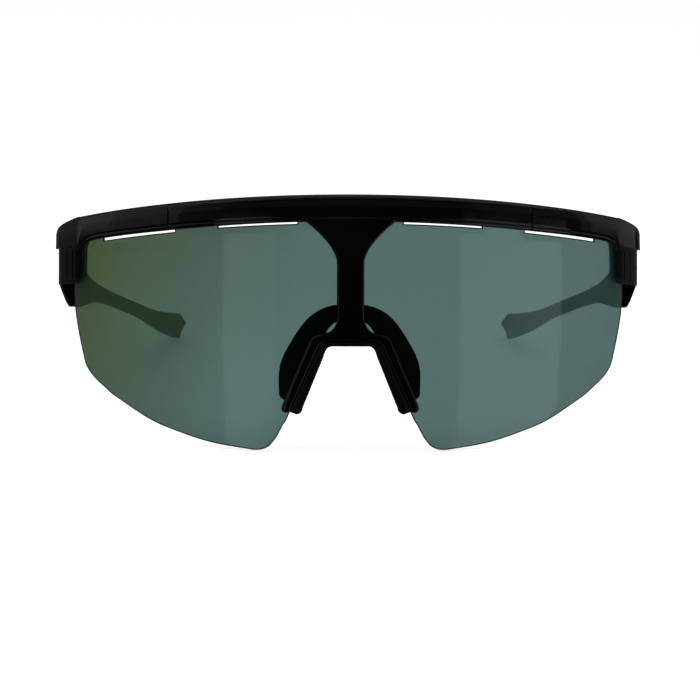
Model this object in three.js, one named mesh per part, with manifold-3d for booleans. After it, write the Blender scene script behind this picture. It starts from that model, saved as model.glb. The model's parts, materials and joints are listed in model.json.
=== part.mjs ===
// Wraparound sport sunglasses: one shield lens held under a brow bar, with folding temples.
//
// Units are millimetres. The glasses are designed in their wearing frame: the front faces -Y,
// the temples run back along +Y, +Z is up, and the mirror plane is x = 0. Left and right are the
// wearer's own, so left is +X. The finished group is tipped back by restTilt, so that it stands
// on z = 0 on the lower edge of the lens and on the tips of both temples.

import * as THREE from 'three';
import { mergeVertices } from 'three/addons/utils/BufferGeometryUtils.js';
import Module from 'manifold-3d';

const wasm = await Module();
wasm.setup();

// ---- Driving dimensions -------------------------------------------------------------------

const faceRadius = 85.7;          // plan radius of the brow bar's front face
const faceInset = 1.7;            // from the brow bar's front face back to the lens's front face
const lensThickness = 1.8;
const browThickness = 5.7;
const crownZ = 30;                // height at which the barrel-shaped lens is widest
const barrelDrop = 680;           // twice the vertical radius of the barrel
const fitGap = 0.25;              // between a piece and the pocket that holds it
const seamGap = 0.15;             // between two pieces that meet at a visible seam

const browTopZ = 36.1;
const browBottomZ = 29.75;
const columnHalfWidth = 3.17;
const columnFlareWidth = 10.35;
const columnFlareBottomZ = 19.8;
const seamX = 42.9;               // joint between the brow bar and an end piece
const tabHeight = 2.2;            // how far a lens tab stands up inside the brow bar
const ventDrops = [0.35, 0.5];    // open height of the inner and outer vents
const vents = [[12.4, 30.8], [41.3, 59.0]];

const lensBottomZ = -23.45;
const lensLobeX = 22.6;           // lowest point of each half of the lens

const cornerAngle = 50;           // degrees round the face where the tighter corner bend starts
const cornerRadius = 28;
const hingePlaneY = 47;           // rear face of the end pieces
const hingeGap = 0.3;
const lugInnerX = 65;
const lugBottomZ = 16.1;

const hingeX = 67.1;
const hingeY = hingePlaneY + hingeGap / 2;
const hingeZ = 20.4;
const knuckleRadius = 1.95;
const knuckleRelief = 0.25;
const tongueHalfHeight = 1.7;
const washerThickness = 0.35;
const axialPlay = 0.1;
const earHeight = 1.9;
const screwRadius = 0.75;
const screwHeadRadius = 1.45;
const screwHeadHeight = 0.8;
const sleeveRadius = 1.1;
const runningGap = 0.05;

const sockStartY = 108;
const tipY = 157;
const tipBottomZ = 3.3;
const tipContactY = 154.6;
const wireRadius = 0.7;

const ringSegments = 120;
const curveSteps = 8;

const radians = THREE.MathUtils.degToRad;

// ---- Solids ------------------------------------------------------------------------------

function solid(geometry) {
  const bare = geometry.clone();
  bare.deleteAttribute('normal');
  bare.deleteAttribute('uv');
  const merged = mergeVertices(bare, 1e-4);
  return new wasm.Manifold(new wasm.Mesh({
    numProp: 3,
    vertProperties: new Float32Array(merged.attributes.position.array),
    triVerts: new Uint32Array(merged.index.array),
  }));
}

function geometryOf(body) {
  const mesh = body.getMesh();
  const geometry = new THREE.BufferGeometry();
  const positions = new THREE.BufferAttribute(new Float32Array(mesh.vertProperties), 3);
  geometry.setAttribute('position', positions);
  geometry.setIndex(new THREE.BufferAttribute(new Uint32Array(mesh.triVerts), 1));
  return geometry;
}

// The same piece for the wearer's other side.
function mirrored(geometry) {
  const copy = geometry.clone();
  copy.scale(-1, 1, 1);
  const index = copy.index.array;
  for (let i = 0; i < index.length; i += 3) {
    [index[i + 1], index[i + 2]] = [index[i + 2], index[i + 1]];
  }
  return copy;
}

function union(...bodies) {
  return bodies.reduce((sum, body) => sum.add(body));
}

function cut(body, ...tools) {
  return tools.reduce((rest, tool) => rest.subtract(tool), body);
}

function extruded(shape, length, steps = 1) {
  return new THREE.ExtrudeGeometry(shape, {
    depth: length, bevelEnabled: false, curveSegments: curveSteps, steps,
  });
}

// An outline drawn in plan (x, y), extruded upwards.
function planPrism(shape, low, high) {
  return solid(extruded(shape, high - low).translate(0, 0, low));
}

// An outline drawn from the front (x, z), extruded backwards.
function frontPrism(shape, near, far) {
  return solid(extruded(shape, far - near).rotateX(Math.PI / 2).translate(0, far, 0));
}

// An outline drawn from the side (y, z), extruded across.
function sidePrism(shape, low, high) {
  const turn = new THREE.Matrix4().makeBasis(
    new THREE.Vector3(0, 1, 0),
    new THREE.Vector3(0, 0, 1),
    new THREE.Vector3(1, 0, 0),
  );
  return solid(extruded(shape, high - low).applyMatrix4(turn).translate(low, 0, 0));
}

function upright(radius, low, high, x, y, segments = 24) {
  const rod = new THREE.CylinderGeometry(radius, radius, high - low, segments);
  rod.rotateX(Math.PI / 2);
  return solid(rod.translate(x, y, (low + high) / 2));
}

function block(x0, x1, y0, y1, z0, z1) {
  const box = new THREE.BoxGeometry(x1 - x0, y1 - y0, z1 - z0);
  return solid(box.translate((x0 + x1) / 2, (y0 + y1) / 2, (z0 + z1) / 2));
}

function polygon(points) {
  return new THREE.Shape(points.map(([a, b]) => new THREE.Vector2(a, b)));
}

function tubeAlong(points, radius) {
  const path = new THREE.CatmullRomCurve3(points);
  const section = new THREE.Shape().absarc(0, 0, radius, 0, 2 * Math.PI);
  return solid(new THREE.ExtrudeGeometry(section, {
    extrudePath: path, steps: 16, curveSegments: 6, bevelEnabled: false,
  }));
}

// ---- The curve of the front -------------------------------------------------------------

function lensRadiusAt(z) {
  return faceRadius - faceInset - (z - crownZ) ** 2 / barrelDrop;
}

// A shell that follows the barrel of the lens, between two offsets from the lens's front face.
function barrelShell(innerOffset, outerOffset, low, high) {
  const rows = Math.max(2, Math.ceil((high - low) / 10));
  const heights = Array.from({ length: rows + 1 }, (_, i) => low + (high - low) * i / rows);
  const outer = heights.map((z) => new THREE.Vector2(lensRadiusAt(z) + outerOffset, z));
  const inner = heights.map((z) => new THREE.Vector2(lensRadiusAt(z) + innerOffset, z));
  const section = [...outer, ...inner.reverse(), outer[0].clone()];
  const ring = new THREE.LatheGeometry(section, ringSegments);
  return solid(ring.rotateX(Math.PI / 2).translate(0, faceRadius, 0));
}

function browTop(x) {
  return browTopZ - 0.00078 * x ** 2 - 1.6e-8 * x ** 4;
}

function browBottom(x) {
  return browBottomZ - 0.00085 * x ** 2;
}

function sample(from, to, count, height) {
  return Array.from({ length: count + 1 }, (_, i) => {
    const x = from + (to - from) * i / count;
    return [x, height(x)];
  });
}

// ---- Outlines seen from the front ---------------------------------------------------------

function mirroredOutline(rightHalf) {
  const leftHalf = rightHalf.map(([x, z]) => [-x, z]).reverse();
  return polygon([...rightHalf, ...leftHalf]);
}

function curvePoints(curve, count) {
  return curve.getPoints(count).map((p) => [p.x, p.y]);
}

function bend(start, corner, end, count = 6) {
  const curve = new THREE.QuadraticBezierCurve(
    new THREE.Vector2(...start),
    new THREE.Vector2(...corner),
    new THREE.Vector2(...end),
  );
  return curvePoints(curve, count);
}

function smooth(points, count) {
  return curvePoints(new THREE.SplineCurve(points.map((p) => new THREE.Vector2(...p))), count);
}

// Notch in the lens for the nose, from the top centre down to the lobe.
function lensNotch() {
  return [
    ...bend([0, 2.9], [7, 3.2], [8, 0.9]),
    ...smooth([[8.6, -0.6], [14.1, -14.6], [15.7, -17.6], [17.2, -20.4], [18.6, -22.2]], 12),
    [20.2, -23.1],
  ];
}

function lensOutline() {
  const topEdge = [
    ...sample(0, vents[0][0], 4, (x) => browBottom(x) + tabHeight),
    ...sample(vents[0][0], vents[0][1], 6, (x) => browBottom(x) - ventDrops[0]),
    ...sample(vents[0][1], vents[1][0], 4, (x) => browBottom(x) + tabHeight),
    ...sample(vents[1][0], vents[1][1], 6, (x) => browBottom(x) - ventDrops[1]),
    [vents[1][1], browBottom(vents[1][1]) + tabHeight],
  ];
  const outerEdge = [
    ...bend([64, 28.2], [66.4, 28], [66.8, 25]),
    ...smooth([[66.9, 20], [67.1, 13.5], [66.7, 8.2], [65.6, 2.3], [64.7, -1.6]], 8),
    ...bend([64.4, -2.8], [63.7, -5.3], [60.6, -7.9]),
  ];
  const bottomEdge = smooth(
    [[57.1, -10.8], [48, -16.4], [41.5, -19.1], [32.7, -21.8], [lensLobeX, lensBottomZ]],
    14,
  );
  return mirroredOutline([...topEdge, ...outerEdge, ...bottomEdge, ...lensNotch().reverse()]);
}

// The wishbone at the foot of the bridge column, which frames the nose notch.
function wishboneOuter() {
  return [
    ...bend([columnHalfWidth, 7.6], [3.3, 3.8], [7.4, 3.45]),
    ...bend([7.6, 3.4], [9.2, 3], [9.9, 0.9]),
    [15.9, -12.9],
    ...bend([15.95, -13.1], [16.2, -14.6], [14.9, -14.65], 4),
  ];
}

function wishboneInner(inset) {
  return [
    ...bend([14.6, -14.6], [14.1, -14.5], [13.75 - inset, -13.2], 3),
    [7.7 - inset, 0.2],
    ...bend([7.6 - inset, 0.4], [6.9 - inset, 1.9 - inset], [5.2, 1.9 - inset], 4),
    [0, 1.9 - inset],
  ];
}

function columnOutline() {
  return mirroredOutline([
    [0, browBottomZ + 0.5],
    [columnFlareWidth, browBottomZ + 0.5],
    ...bend(
      [columnFlareWidth, browBottom(columnFlareWidth)],
      [columnHalfWidth, 23.9],
      [columnHalfWidth, columnFlareBottomZ],
      curveSteps,
    ),
    ...wishboneOuter(),
    ...wishboneInner(0),
  ]);
}

// ---- Brow bar ------------------------------------------------------------------------------

const lensBack = -lensThickness;
const browFront = faceInset;
const browBack = faceInset - browThickness;

// Limits that reach past the whole front, past the brow band, and past one temple.
const bottomZ = -40;
const topZ = 45;
const farFront = -5;
const farBack = 60;
const bandLowZ = 20;
const bandHighZ = 38;
const armNearX = 30;
const armFarX = 90;

function browBand(halfWidth) {
  return mirroredOutline([
    ...sample(0, halfWidth, 10, browTop),
    ...sample(0, halfWidth, 10, browBottom).reverse(),
  ]);
}

// Groove in the underside of the brow that takes one tab of the lens.
function tabGroove(from, to) {
  const outline = polygon([
    ...sample(from - fitGap, to + fitGap, 5, (x) => browBottom(x) + tabHeight + fitGap),
    [to + fitGap, browBottom(to) - 3],
    [from - fitGap, browBottom(to) - 3],
  ]);
  const shell = barrelShell(lensBack - fitGap, fitGap, bandLowZ, bandHighZ);
  return shell.intersect(frontPrism(outline, farFront, farBack));
}

// An upright wall that follows the brow in plan, between two angles from the centre.
function browSector(inset, thickness, fromAngle, toAngle, low, high) {
  const shape = new THREE.Shape();
  const start = -Math.PI / 2 + fromAngle;
  const end = -Math.PI / 2 + toAngle;
  shape.absarc(0, faceRadius, faceRadius - inset, start, end, false);
  shape.absarc(0, faceRadius, faceRadius - inset - thickness, end, start, true);
  return planPrism(shape, low, high);
}

const seamAngle = Math.asin(seamX / faceRadius);
const spliceStartX = 35.6;
const spliceStart = Math.asin(spliceStartX / faceRadius);
const spliceInset = 1.7;
const spliceThickness = 2;
const spliceLow = 31.9;
const spliceHigh = 33.7;

function spliceSocket() {
  return browSector(
    spliceInset - fitGap, spliceThickness + 2 * fitGap,
    spliceStart - 0.004, seamAngle + 0.02,
    spliceLow - fitGap, spliceHigh + fitGap,
  );
}

function spliceTongue() {
  return browSector(
    spliceInset, spliceThickness,
    spliceStart, seamAngle + 0.02,
    spliceLow, spliceHigh,
  );
}

// Splice screws go in from behind, square to the brow.
const spliceScrewX = 38.9;
const spliceScrewAngle = Math.asin(spliceScrewX / faceRadius);
const spliceScrewZ = (spliceLow + spliceHigh) / 2;
const spliceScrewRadius = 0.5;
const spliceHeadRadius = 1.1;
const spliceHeadHeight = 0.7;
const spliceHoleDepth = 2.2;      // from the brow's front face to the blind end of the hole

function radialRod(radius, nearDepth, farDepth, angle) {
  const rod = new THREE.CylinderGeometry(radius, radius, farDepth - nearDepth, 16);
  rod.translate(0, (nearDepth + farDepth) / 2 - faceRadius, 0);
  rod.rotateZ(angle);
  return solid(rod.translate(0, faceRadius, spliceScrewZ));
}

function spliceScrewHole(grow) {
  return union(
    radialRod(spliceScrewRadius + grow, spliceHoleDepth, browThickness + 1, spliceScrewAngle),
    radialRod(
      spliceHeadRadius + grow,
      browThickness - spliceHeadHeight - grow, browThickness + 1, spliceScrewAngle,
    ),
  );
}

function spliceScrew() {
  const slot = block(-2, 2, browThickness - 0.35, browThickness + 1, -0.15, 0.15);
  const placed = slot.translate([0, -faceRadius, 0])
    .rotate([0, 0, THREE.MathUtils.radToDeg(spliceScrewAngle)])
    .translate([0, faceRadius, spliceScrewZ]);
  const screw = union(
    radialRod(spliceScrewRadius, spliceHoleDepth + 0.2, browThickness - 0.2, spliceScrewAngle),
    radialRod(
      spliceHeadRadius, browThickness - spliceHeadHeight, browThickness, spliceScrewAngle,
    ),
  );
  return geometryOf(cut(screw, placed));
}

function browBar() {
  const reach = seamAngle - seamGap / 2 / faceRadius;
  const band = barrelShell(browBack, browFront, bandLowZ, bandHighZ)
    .intersect(frontPrism(browBand(seamX + 3), farFront, farBack))
    .intersect(browSector(-1, browThickness + 2, -reach, reach, bandLowZ, bandHighZ));
  const column = barrelShell(fitGap, browFront, bottomZ, 32)
    .intersect(frontPrism(columnOutline(), farFront, farBack));
  const grooves = [
    tabGroove(-vents[0][0], vents[0][0]),
    tabGroove(vents[0][1], vents[1][0]),
    tabGroove(-vents[1][0], -vents[0][1]),
  ];
  const socket = spliceSocket();
  const hole = spliceScrewHole(0.1);
  const flip = (body) => solid(mirrored(geometryOf(body)));
  return geometryOf(cut(
    union(band, column), ...grooves, socket, flip(socket), hole, flip(hole),
  ));
}

// ---- Lens ------------------------------------------------------------------------------------

function shieldLens() {
  return geometryOf(
    barrelShell(lensBack, 0, bottomZ, topZ).intersect(frontPrism(lensOutline(), farFront, farBack)),
  );
}

// ---- End pieces and hinges ----------------------------------------------------------------

const cornerStart = radians(cornerAngle);
const cornerCentre = new THREE.Vector2(
  (faceRadius - cornerRadius) * Math.sin(cornerStart),
  faceRadius - (faceRadius - cornerRadius) * Math.cos(cornerStart),
);

// Plan of the end piece: the face curve, then a tighter bend round to the hinge.
function endPiecePlan() {
  const start = -Math.PI / 2 + seamAngle + seamGap / 2 / faceRadius;
  const corner = -Math.PI / 2 + cornerStart;
  const { x, y } = cornerCentre;
  const shape = new THREE.Shape();
  shape.absarc(0, faceRadius, faceRadius, start, corner, false);
  shape.absarc(x, y, cornerRadius, corner, 0, false);
  shape.lineTo(x + cornerRadius, y + 10);
  shape.lineTo(x + cornerRadius - browThickness, y + 10);
  shape.absarc(x, y, cornerRadius - browThickness, 0, corner, true);
  shape.absarc(0, faceRadius, faceRadius - browThickness, corner, start, true);
  return shape;
}

function endPieceFront() {
  return polygon([
    ...sample(seamX - 3, 65, 8, browTop),
    ...bend([66, 32.3], [71.6, 31.2], [72.5, 27]),
    [75, 25],
    [75, lugBottomZ],
    [lugInnerX, lugBottomZ],
    ...bend([lugInnerX, 23.8], [64.9, 26], [61, 26.55]),
    ...sample(seamX - 3, 60, 8, browBottom).reverse(),
  ]);
}

function endPieceSide() {
  return polygon([
    [0, topZ],
    [24, topZ],
    ...bend([27, 33.2], [40, 31.2], [45, 29.2]),
    [hingePlaneY, 28.7],
    [hingePlaneY, lugBottomZ],
    [0, lugBottomZ],
  ]);
}

const earLow = tongueHalfHeight + 2 * axialPlay + washerThickness;
const earHigh = earLow + earHeight;
const knuckleWebX = 68.6;

function ring(outerRadius, innerRadius, low, high) {
  return cut(
    upright(outerRadius, low, high, hingeX, hingeY),
    upright(innerRadius, low - 1, high + 1, hingeX, hingeY),
  );
}

function knuckle(low, high, webPoints) {
  return union(
    upright(knuckleRadius, low, high, hingeX, hingeY),
    planPrism(polygon(webPoints), low, high),
  );
}

const earWeb = [
  [hingeX - knuckleRadius, hingeY],
  [66.4, 41],
  [knuckleWebX, 41],
  [knuckleWebX, hingePlaneY],
  [hingeX, hingeY + 0.4],
];

function endPiece() {
  const body = planPrism(endPiecePlan(), 10, topZ)
    .intersect(frontPrism(endPieceFront(), farFront, farBack))
    .intersect(sidePrism(endPieceSide(), 0, 80));
  const lensSlot = barrelShell(lensBack - fitGap, fitGap, 5, 38).intersect(
    frontPrism(polygon([
      [vents[1][1] - fitGap, browBottom(59) + tabHeight + fitGap],
      [64.3, 28.5],
      [67.2, 28.5],
      [67.2, 5],
      [40, 5],
      [40, 26],
      [vents[1][1] - fitGap, 26],
    ]), farFront, farBack),
  );
  const relief = upright(
    knuckleRadius + knuckleRelief,
    hingeZ - earLow, hingeZ + earLow, hingeX, hingeY,
  );
  const upperEar = knuckle(hingeZ + earLow, hingeZ + earHigh, earWeb);
  const lowerEar = knuckle(hingeZ - earHigh, hingeZ - earLow, earWeb);
  const pinHole = upright(screwRadius + axialPlay, 0, topZ, hingeX, hingeY);
  const headSeat = upright(
    screwHeadRadius + axialPlay,
    hingeZ + earHigh - screwHeadHeight - axialPlay, topZ, hingeX, hingeY,
  );
  const tongue = spliceTongue();
  const screwHole = radialRod(spliceScrewRadius + 0.1, 1, 4.5, spliceScrewAngle);
  return geometryOf(cut(
    union(cut(body, lensSlot, relief), upperEar, lowerEar, tongue),
    pinHole, headSeat, screwHole, tabGroove(vents[0][1], vents[1][0]),
  ));
}

function hingeScrew() {
  const top = hingeZ + earHigh;
  const shaft = upright(screwRadius, hingeZ - earHigh + 0.2, top - 0.4, hingeX, hingeY);
  const head = upright(screwHeadRadius, top - screwHeadHeight, top - 0.05, hingeX, hingeY);
  const slot = block(
    hingeX - 2, hingeX + 2, hingeY - 0.18, hingeY + 0.18, top - 0.4, top + 1,
  );
  return geometryOf(cut(union(shaft, head), slot));
}

function hingeSleeve() {
  const reach = earLow - axialPlay;
  return geometryOf(ring(sleeveRadius, screwRadius + runningGap, hingeZ - reach, hingeZ + reach));
}

function hingeWasher(level) {
  const near = tongueHalfHeight + axialPlay;
  const low = level > 0 ? hingeZ + near : hingeZ - near - washerThickness;
  return geometryOf(ring(knuckleRadius - 0.1, sleeveRadius + axialPlay, low, low + washerThickness));
}

// ---- Temples ---------------------------------------------------------------------------------

// Stations back along the temple: y, inner face x, outer face x, lower edge z, upper edge z.
const templeStations = [
  [47.3, 67.4, 72.1, 10.9, 28.4],
  [52.0, 66.2, 71.2, 10.7, 21.8],
  [60.0, 64.2, 68.2, 11.7, 18.0],
  [66.0, 62.6, 66.3, 12.2, 16.6],
  [75.0, 60.3, 63.7, 11.7, 15.2],
  [98.0, 54.4, 57.7, 8.9, 12.3],
  [108.0, 52.4, 55.8, 7.6, 11.3],
  [119.0, 50.4, 54.3, 6.2, 10.7],
  [132.0, 48.4, 52.6, 4.8, 10.5],
  [150.0, 46.2, 50.4, 3.5, 10.5],
  [157.0, 45.3, 49.5, 3.3, 10.5],
];

const flatFromStation = 7;        // both faces of the sock run straight from here to the tip

function edgeCurve(column, straightTail) {
  const points = templeStations.map((station) => [station[0], station[column]]);
  if (!straightTail) {
    return smooth(points, 30);
  }
  return [...smooth(points.slice(0, flatFromStation + 1), 24), points[points.length - 1]];
}

// The whole arm, from the hinge plane to the tip, before it is divided into its pieces.
function templeBlank() {
  const inner = edgeCurve(1, true).map(([y, x]) => [x, y]);
  const outer = edgeCurve(2, true).map(([y, x]) => [x, y]);
  const lower = edgeCurve(3, false);
  const upper = edgeCurve(4, false);
  const plan = planPrism(polygon([...inner, ...outer.reverse()]), 0, topZ);
  const side = sidePrism(polygon([...lower, ...upper.reverse()]), armNearX, armFarX);
  const heelBevel = frontPrism(
    polygon([[69.2, 10], [70.4, 12.2], [71.5, 15], [72.3, 17.5], [76, 17.5], [76, 8], [69.2, 8]]),
    40, 58,
  );
  return cut(plan.intersect(side), heelBevel);
}

function midline(y) {
  const after = templeStations.findIndex((station) => station[0] >= y);
  const [a, b] = [templeStations[after - 1], templeStations[after]];
  const t = (y - a[0]) / (b[0] - a[0]);
  const at = (i) => a[i] + (b[i] - a[i]) * t;
  return new THREE.Vector3((at(1) + at(2)) / 2, y, (at(3) + at(4)) / 2);
}

function wirePath(from, to) {
  return Array.from({ length: 6 }, (_, i) => midline(from + (to - from) * i / 5));
}

const wireStartY = 94;
const wireEndY = 140;
const wireChannel = () => tubeAlong(wirePath(wireStartY - 0.4, wireEndY + 0.4), wireRadius + fitGap);

const tongueWeb = [
  [hingeX - knuckleRadius, hingeY],
  [hingeX, hingeY - 0.4],
  [knuckleWebX, hingePlaneY + hingeGap],
  [knuckleWebX, 53.5],
  [66.6, 53.5],
];

function temple() {
  const front = templeBlank().intersect(
    block(armNearX, armFarX, hingePlaneY, sockStartY - fitGap, 0, topZ),
  );
  const relief = [1, -1].map((level) => upright(
    knuckleRadius + knuckleRelief,
    hingeZ + level * (level > 0 ? tongueHalfHeight : earHigh + 0.3),
    hingeZ + level * (level > 0 ? earHigh + 0.3 : tongueHalfHeight),
    hingeX, hingeY,
  ));
  const tongue = knuckle(hingeZ - tongueHalfHeight, hingeZ + tongueHalfHeight, tongueWeb);
  const bore = upright(
    sleeveRadius + runningGap,
    hingeZ - tongueHalfHeight - 0.1, hingeZ + tongueHalfHeight + 0.1, hingeX, hingeY,
  );
  return geometryOf(cut(union(cut(front, ...relief), tongue), bore, wireChannel()));
}

// Material taken off above and below the ridge on the inner face of the tip.
const tipRidge = [45.6, 7.8];
const tipBevels = [
  [tipRidge, [47.6, 10.5], [48.3, 11.45], [44, 11.45], [44, 7.8]],
  [tipRidge, [44, 7.8], [44, 2], [49.1, 2], [48.4, 3.2]],
];

function earSock() {
  const tip = polygon([
    [sockStartY, 0],
    [tipContactY, 0],
    [tipContactY, tipBottomZ],
    [tipY - 0.4, 5.3],
    [tipY - 0.1, 8.2],
    [153.6, 10.5],
    [153.6, 20],
    [sockStartY, 20],
  ]);
  const rear = templeBlank().intersect(sidePrism(tip, armNearX, armFarX));
  const bevels = tipBevels.map((outline) => frontPrism(polygon(outline), sockStartY, tipY + 1));
  return geometryOf(cut(rear, wireChannel(), ...bevels));
}

function coreWire() {
  return geometryOf(tubeAlong(wirePath(wireStartY, wireEndY), wireRadius));
}

// ---- Nose --------------------------------------------------------------------------------------

// Inner edge of the nose opening, half of it, from the top centre down to the prong's end.
function openingEdge(grow) {
  return [
    [0, 0.8 - grow],
    ...bend([4.3, 0.8 - grow], [5.7 - grow, 0.8 - grow], [6.2 - grow, -1.5], 4),
    [11.1 - grow, -13.6],
  ];
}

function saddleSection(outerHalf) {
  return mirroredOutline([
    ...openingEdge(0),
    ...bend([11.15, -14], [11.6, -15.1], [12.7, -15], 3),
    ...outerHalf,
  ]);
}

const saddleBack = -4.4;
const saddleShellTop = 9;

function noseSaddle() {
  const frontLip = saddleSection([...wishboneInner(seamGap)].slice(3));
  const throat = saddleSection([
    [13.45, -14.3],
    [8.15, -0.7],
    ...bend([7.7, 0.8], [6.8, 2.65], [4, 2.65], 4),
    [0, 2.62],
  ]);
  const backLip = saddleSection([
    [15.4, -14.2],
    [9.9, -0.2],
    ...bend([9.4, 1.4], [8.2, 4.1], [4, 4.2], 4),
    [0, 4.2],
  ]);
  const layer = (outline, inner, outer) => barrelShell(inner, outer, bottomZ, saddleShellTop)
    .intersect(frontPrism(outline, farFront, farBack));
  const neck = layer(frontLip, -0.1, fitGap + 0.1).intersect(frontPrism(throat, farFront, farBack));
  return geometryOf(union(
    layer(frontLip, fitGap, browFront - 0.2),
    neck,
    layer(throat, lensBack - fitGap - 0.1, 0),
    layer(backLip, saddleBack, lensBack - fitGap),
  ));
}

// The soft horseshoe behind the saddle. Its wings spread sideways towards the face.
function nosePad() {
  const outline = mirroredOutline([
    [0, 10.4],
    [3, 10.4],
    ...smooth([[6.8, 9.4], [10.2, 7], [12.4, 3.8], [13.7, 0], [14.6, -4.4], [14.9, -8.6]], 14),
    ...bend([14.9, -9], [14.7, -12], [12.6, -12.3], 5),
    [11.3, -11.6],
    [7.4, -1.6],
    ...bend([6.8, 0.2], [6.4, 6.6], [2.6, 6.7], 6),
    [0, 6.7],
  ]);
  const depth = 10.5;
  const near = 4.6;
  const splay = 0.34;
  const slab = extruded(outline, depth, 5).rotateX(Math.PI / 2).translate(0, near + depth, 0);
  const position = slab.attributes.position;
  for (let i = 0; i < position.count; i += 1) {
    const x = position.getX(i);
    const y = position.getY(i);
    const z = position.getZ(i);
    const wing = THREE.MathUtils.smoothstep(8 - z, 0, 12);
    const sag = (z - crownZ) ** 2 / barrelDrop + x * x / 2 / faceRadius;
    position.setX(i, x + Math.sign(x) * Math.min(1, Math.abs(x) / 3) * splay * (y - near) * wing);
    position.setY(i, near + sag + faceInset + (y - near) * (0.45 + 0.55 * wing));
  }
  return geometryOf(solid(slab));
}

// ---- Assembly --------------------------------------------------------------------------------

const finishes = {
  gloss: { color: 0x0b0c0d, roughness: 0.12, metalness: 0 },
  lens: { color: 0x4f6e64, roughness: 0.05, metalness: 0.2, transparent: true, opacity: 0.75 },
  rubber: { color: 0x121313, roughness: 0.75, metalness: 0 },
  satin: { color: 0x0f1011, roughness: 0.35, metalness: 0 },
  steel: { color: 0x8d8f92, roughness: 0.3, metalness: 1 },
  nylon: { color: 0x2a2b2c, roughness: 0.5, metalness: 0 },
};

function piece(name, geometry, finish) {
  const flat = geometry.toNonIndexed();
  flat.computeVertexNormals();
  const mesh = new THREE.Mesh(flat, new THREE.MeshStandardMaterial(finishes[finish]));
  mesh.name = name;
  return mesh;
}

// The tilt that puts the lens's lower edge and the temple tips on one plane.
function lowestLensY() {
  const radius = lensRadiusAt(lensBottomZ) - lensThickness;
  return faceRadius - Math.sqrt(radius ** 2 - lensLobeX ** 2);
}

const restTilt = Math.atan2(tipBottomZ - lensBottomZ, tipContactY - lowestLensY());

const glasses = new THREE.Group();
glasses.add(
  piece('brow_bar', browBar(), 'gloss'),
  piece('shield_lens', shieldLens(), 'lens'),
  piece('nose_saddle', noseSaddle(), 'satin'),
  piece('nose_pad', nosePad(), 'rubber'),
);

const pairs = [
  ['end_piece', endPiece(), 'gloss'],
  ['splice_screw', spliceScrew(), 'steel'],
  ['hinge_screw', hingeScrew(), 'steel'],
  ['hinge_sleeve', hingeSleeve(), 'steel'],
  ['hinge_washer_upper', hingeWasher(1), 'nylon'],
  ['hinge_washer_lower', hingeWasher(-1), 'nylon'],
  ['temple', temple(), 'gloss'],
  ['temple_core_wire', coreWire(), 'steel'],
  ['ear_sock', earSock(), 'rubber'],
];

for (const [name, geometry, finish] of pairs) {
  glasses.add(piece(`${name}_left`, geometry, finish));
  glasses.add(piece(`${name}_right`, mirrored(geometry), finish));
}

const group = new THREE.Group();
group.add(glasses);
glasses.rotation.x = -restTilt;
glasses.updateMatrixWorld(true);

// Stand the lowest point on z = 0 and put the origin under the middle of the whole box.
const box = new THREE.Box3().setFromObject(glasses, true);
glasses.position.set(0, -(box.min.y + box.max.y) / 2, -box.min.z);
group.updateMatrixWorld(true);

export default group;
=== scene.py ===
"""Wraparound sport sunglasses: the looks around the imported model.

Shapes are worked out in millimetres in the wearing frame (front at -Y, temples back along +Y,
+Z up, x = 0 the mirror plane) and then turned into the model's own frame, in metres.
"""

import json
import math

import bmesh
import bpy
from mathutils import Matrix, Vector, geometry, kdtree

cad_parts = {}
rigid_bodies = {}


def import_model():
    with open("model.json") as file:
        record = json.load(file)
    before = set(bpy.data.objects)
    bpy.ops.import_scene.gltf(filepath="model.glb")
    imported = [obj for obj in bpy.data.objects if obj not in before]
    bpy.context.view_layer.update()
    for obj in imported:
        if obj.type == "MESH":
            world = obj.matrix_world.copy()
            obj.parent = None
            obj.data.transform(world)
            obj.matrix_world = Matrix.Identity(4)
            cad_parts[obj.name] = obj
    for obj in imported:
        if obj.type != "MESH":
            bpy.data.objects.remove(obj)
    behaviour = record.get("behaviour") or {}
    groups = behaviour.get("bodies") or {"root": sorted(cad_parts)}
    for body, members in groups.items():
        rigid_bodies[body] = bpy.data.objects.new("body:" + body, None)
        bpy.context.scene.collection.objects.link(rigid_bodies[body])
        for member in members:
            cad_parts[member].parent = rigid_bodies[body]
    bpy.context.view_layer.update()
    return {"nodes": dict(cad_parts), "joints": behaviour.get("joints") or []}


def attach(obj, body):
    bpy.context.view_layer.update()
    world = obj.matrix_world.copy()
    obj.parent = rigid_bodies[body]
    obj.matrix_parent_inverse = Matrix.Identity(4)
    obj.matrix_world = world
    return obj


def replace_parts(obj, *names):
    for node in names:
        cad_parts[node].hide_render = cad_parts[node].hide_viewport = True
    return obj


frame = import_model()

# ---- Wearing frame ----

HINGE = Vector((67.1, 47.15, 20.4))  # left hinge in the wearing frame, mm

left_fold = next(j for j in frame["joints"] if j["name"] == "left_temple_fold")
TILT = math.atan2(left_fold["axis"][1], left_fold["axis"][2])
TURN = Matrix.Rotation(-TILT, 4, "X") @ Matrix.Scale(0.001, 4)
TO_ROW = Matrix.Translation(Vector(left_fold["pos_m"]) - TURN @ HINGE) @ TURN

# ---- Sizes, mm ----

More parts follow.
